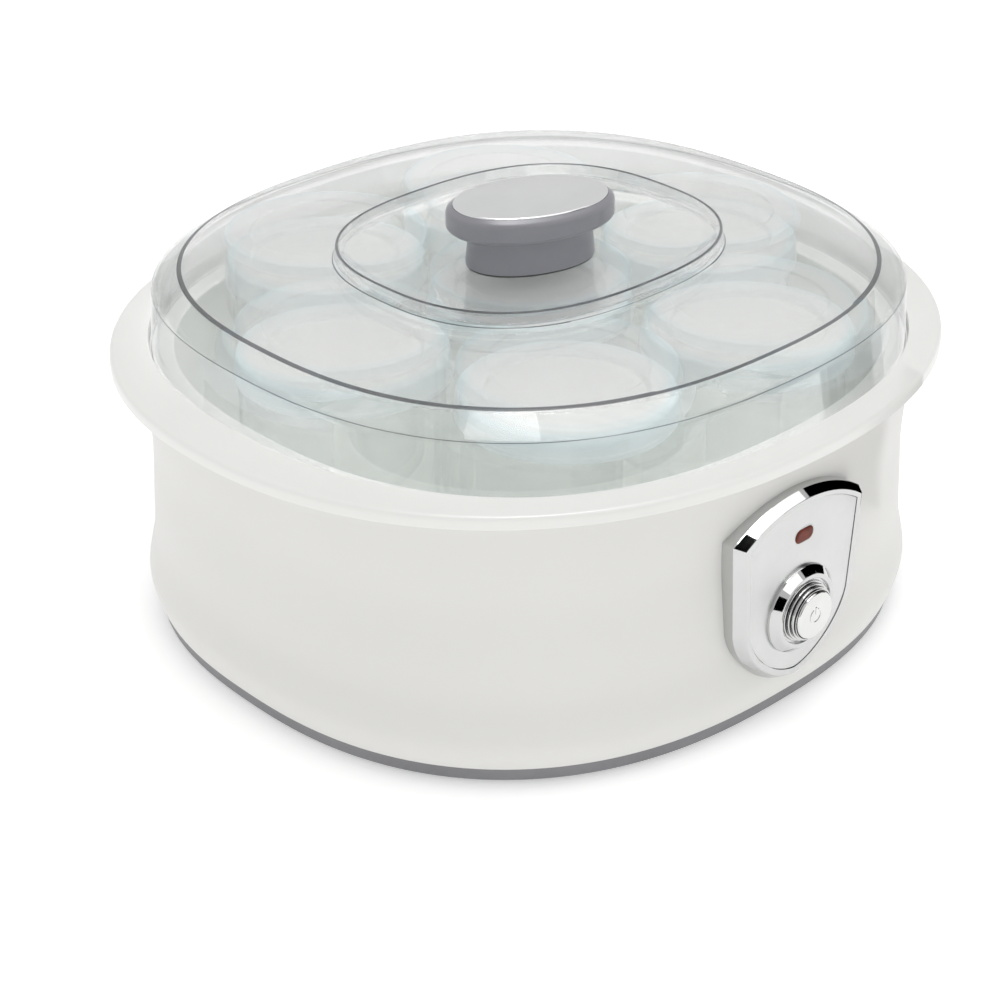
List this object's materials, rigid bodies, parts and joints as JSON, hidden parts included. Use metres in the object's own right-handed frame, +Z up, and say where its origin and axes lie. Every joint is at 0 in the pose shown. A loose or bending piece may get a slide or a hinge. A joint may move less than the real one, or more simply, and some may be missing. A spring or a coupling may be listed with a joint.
{
  "type": "yogurt maker",
  "caption": "Electric yogurt maker: rounded oblong housing with a clear lifting lid, an oval knob, lidded glass jars in a heated tub and a push-button panel.",
  "frame": {"origin": "bottom centre, on the supporting surface under the feet", "axes": "+X along the long side, +Y towards the cord inlet at the back, +Z up; the control panel faces -Y"},
  "size_m": [0.278, 0.256, 0.1424],
  "materials": {
    "white_plastic": "satin",
    "grey_plastic": "satin",
    "rubber": "matte",
    "steel": "satin",
    "aluminium_sheet": "satin",
    "terminal_plastic": "matte",
    "brass": "bright",
    "wire_sleeve": "satin",
    "chrome_trim": "polished",
    "silver_plate": "satin",
    "red_lens": "clear",
    "lamp_glass": "clear",
    "clear_plastic": "clear",
    "knob_grey": "satin",
    "jar_glass": "clear",
    "jar_lid_plastic": "translucent"
  },
  "bodies": {
    "housing": {"outer_body": "white_plastic", "inner_tub": "white_plastic", "base_plate": "grey_plastic", "rubber_feet": "rubber", "base_screws": "steel", "heater_plate": "aluminium_sheet", "heater_screws": "steel", "heating_element": "steel", "element_clips": "aluminium_sheet", "heat_shield": "steel", "thermostat": "steel", "thermal_fuse": "steel", "terminal_block": "terminal_plastic", "terminal_screws": "brass", "cord_gland": "rubber", "live_wire": "wire_sleeve", "lamp_wire": "wire_sleeve", "power_switch": "terminal_plastic", "panel_bezel": "chrome_trim", "panel_face": "silver_plate", "indicator_lens": "red_lens", "indicator_lamp": "lamp_glass", "dial_ring": "chrome_trim", "button_spring": "steel", "panel_screws": "steel"},
    "button": {"power_button": "chrome_trim"},
    "lid": {"lid_cover": "clear_plastic", "lid_handle": "knob_grey", "handle_cap": "silver_plate", "handle_screw": "steel"},
    "jar_1": {"jar_1": "jar_glass"},
    "jar_lid_1": {"jar_lid_1": "jar_lid_plastic"},
    "jar_2": {"jar_2": "jar_glass"},
    "jar_lid_2": {"jar_lid_2": "jar_lid_plastic"},
    "jar_3": {"jar_3": "jar_glass"},
    "jar_lid_3": {"jar_lid_3": "jar_lid_plastic"},
    "jar_4": {"jar_4": "jar_glass"},
    "jar_lid_4": {"jar_lid_4": "jar_lid_plastic"},
    "jar_5": {"jar_5": "jar_glass"},
    "jar_lid_5": {"jar_lid_5": "jar_lid_plastic"},
    "jar_6": {"jar_6": "jar_glass"},
    "jar_lid_6": {"jar_lid_6": "jar_lid_plastic"},
    "jar_7": {"jar_7": "jar_glass"},
    "jar_lid_7": {"jar_lid_7": "jar_lid_plastic"}
  },
  "joints": [
    {"name": "lid_lift", "type": "slide", "parent": "housing", "child": "lid", "axis": [0, 0, 1], "range_m": [0, 0.2]},
    {"name": "button_press", "type": "slide", "parent": "housing", "child": "button", "axis": [0, 1, 0], "range_m": [0, 0.0025], "stiffness_N_per_m": 900, "deforming": ["button_spring"]},
    {"name": "jar_1_lift", "type": "slide", "parent": "housing", "child": "jar_1", "axis": [0, 0, 1], "range_m": [0, 0.11]},
    {"name": "jar_lid_1_lift", "type": "slide", "parent": "jar_1", "child": "jar_lid_1", "axis": [0, 0, 1], "range_m": [0, 0.03]},
    {"name": "jar_2_lift", "type": "slide", "parent": "housing", "child": "jar_2", "axis": [0, 0, 1], "range_m": [0, 0.11]},
    {"name": "jar_lid_2_lift", "type": "slide", "parent": "jar_2", "child": "jar_lid_2", "axis": [0, 0, 1], "range_m": [0, 0.03]},
    {"name": "jar_3_lift", "type": "slide", "parent": "housing", "child": "jar_3", "axis": [0, 0, 1], "range_m": [0, 0.11]},
    {"name": "jar_lid_3_lift", "type": "slide", "parent": "jar_3", "child": "jar_lid_3", "axis": [0, 0, 1], "range_m": [0, 0.03]},
    {"name": "jar_4_lift", "type": "slide", "parent": "housing", "child": "jar_4", "axis": [0, 0, 1], "range_m": [0, 0.11]},
    {"name": "jar_lid_4_lift", "type": "slide", "parent": "jar_4", "child": "jar_lid_4", "axis": [0, 0, 1], "range_m": [0, 0.03]},
    {"name": "jar_5_lift", "type": "slide", "parent": "housing", "child": "jar_5", "axis": [0, 0, 1], "range_m": [0, 0.11]},
    {"name": "jar_lid_5_lift", "type": "slide", "parent": "jar_5", "child": "jar_lid_5", "axis": [0, 0, 1], "range_m": [0, 0.03]},
    {"name": "jar_6_lift", "type": "slide", "parent": "housing", "child": "jar_6", "axis": [0, 0, 1], "range_m": [0, 0.11]},
    {"name": "jar_lid_6_lift", "type": "slide", "parent": "jar_6", "child": "jar_lid_6", "axis": [0, 0, 1], "range_m": [0, 0.03]},
    {"name": "jar_7_lift", "type": "slide", "parent": "housing", "child": "jar_7", "axis": [0, 0, 1], "range_m": [0, 0.11]},
    {"name": "jar_lid_7_lift", "type": "slide", "parent": "jar_7", "child": "jar_lid_7", "axis": [0, 0, 1], "range_m": [0, 0.03]}
  ],
  "couplings": [
    {"joint": "jar_1_lift", "follows": "lid_lift", "ratio": 0.55},
    {"joint": "jar_lid_1_lift", "follows": "lid_lift", "ratio": 0.15},
    {"joint": "jar_2_lift", "follows": "lid_lift", "ratio": 0.55},
    {"joint": "jar_lid_2_lift", "follows": "lid_lift", "ratio": 0.15},
    {"joint": "jar_3_lift", "follows": "lid_lift", "ratio": 0.55},
    {"joint": "jar_lid_3_lift", "follows": "lid_lift", "ratio": 0.15},
    {"joint": "jar_4_lift", "follows": "lid_lift", "ratio": 0.55},
    {"joint": "jar_lid_4_lift", "follows": "lid_lift", "ratio": 0.15},
    {"joint": "jar_5_lift", "follows": "lid_lift", "ratio": 0.55},
    {"joint": "jar_lid_5_lift", "follows": "lid_lift", "ratio": 0.15},
    {"joint": "jar_6_lift", "follows": "lid_lift", "ratio": 0.55},
    {"joint": "jar_lid_6_lift", "follows": "lid_lift", "ratio": 0.15},
    {"joint": "jar_7_lift", "follows": "lid_lift", "ratio": 0.55},
    {"joint": "jar_lid_7_lift", "follows": "lid_lift", "ratio": 0.15}
  ]
}
